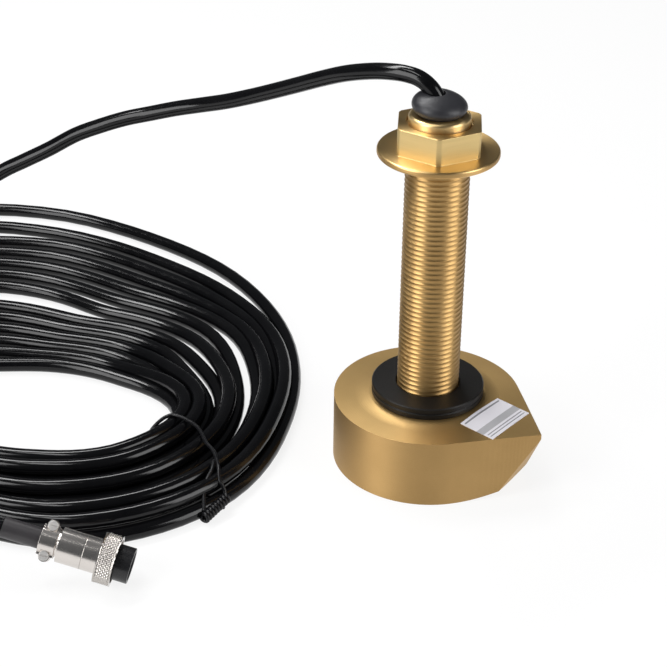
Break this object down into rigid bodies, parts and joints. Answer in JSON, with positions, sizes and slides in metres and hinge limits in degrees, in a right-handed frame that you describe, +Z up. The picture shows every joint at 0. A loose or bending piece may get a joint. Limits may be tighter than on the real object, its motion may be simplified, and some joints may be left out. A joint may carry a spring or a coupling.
{
  "type": "sonar transducer",
  "caption": "Bronze through-hull sonar transducer: pointed round housing, threaded stem with flanged hex nut and sealing washers, rubber boot, coiled black cable and knurled round plug.",
  "frame": {"origin": "on the stem axis, in the plane of the housing's bottom face", "axes": "+Z up the stem, +X towards the point of the housing's bow, +Y completes the right hand"},
  "size_m": [0.3989, 0.2685, 0.1605],
  "materials": {
    "bronze": "satin turned bronze",
    "nut_bronze": "satin machined bronze",
    "urethane": "cast black resin",
    "ceramic": "fired, unglazed",
    "cork": "pressed cork",
    "lead_red": "insulated wire",
    "lead_black": "insulated wire",
    "cable_jacket": "glossy extruded jacket",
    "boot_rubber": "smooth moulded rubber",
    "washer_rubber": "moulded rubber",
    "tie": "coated wire tie",
    "sleeve": "heat-shrunk sleeve",
    "nickel": "bright nickel plate",
    "screw_steel": "plated steel",
    "insert_plastic": "moulded insulator",
    "contact_brass": "gilt contact"
  },
  "bodies": {
    "transducer": {"housing": "bronze", "acoustic_window": "urethane", "ceramic_element": "ceramic", "isolation_ring": "cork", "backing_pad": "cork", "potting": "urethane", "signal_lead": "lead_red", "ground_lead": "lead_black", "stem_cable": "cable_jacket", "cable_boot": "boot_rubber", "hull_gasket": "washer_rubber", "hull_washer": "washer_rubber", "cable_run": "cable_jacket", "cable_coil": "cable_jacket", "coil_tie": "tie", "cable_tail": "cable_jacket", "plug_sleeve": "sleeve", "plug_tail": "nickel", "clamp_saddle": "nickel", "clamp_screws": "screw_steel", "plug_shell": "nickel", "plug_insert": "insert_plastic", "contact_sockets": "contact_brass"},
    "nut": {"hull_nut": "nut_bronze"},
    "ring": {"coupling_ring": "nickel"}
  },
  "joints": [
    {"name": "nut_travel", "type": "slide", "parent": "transducer", "child": "nut", "axis": [0, 0, 1], "range_m": [-0.096, 0.002]},
    {"name": "ring_turn", "type": "hinge", "parent": "transducer", "child": "ring", "pos_m": [-0.07154, -0.14527, 0.0158], "axis": [0.8794, 0.4101, -0.2419], "continuous": true}
  ]
}
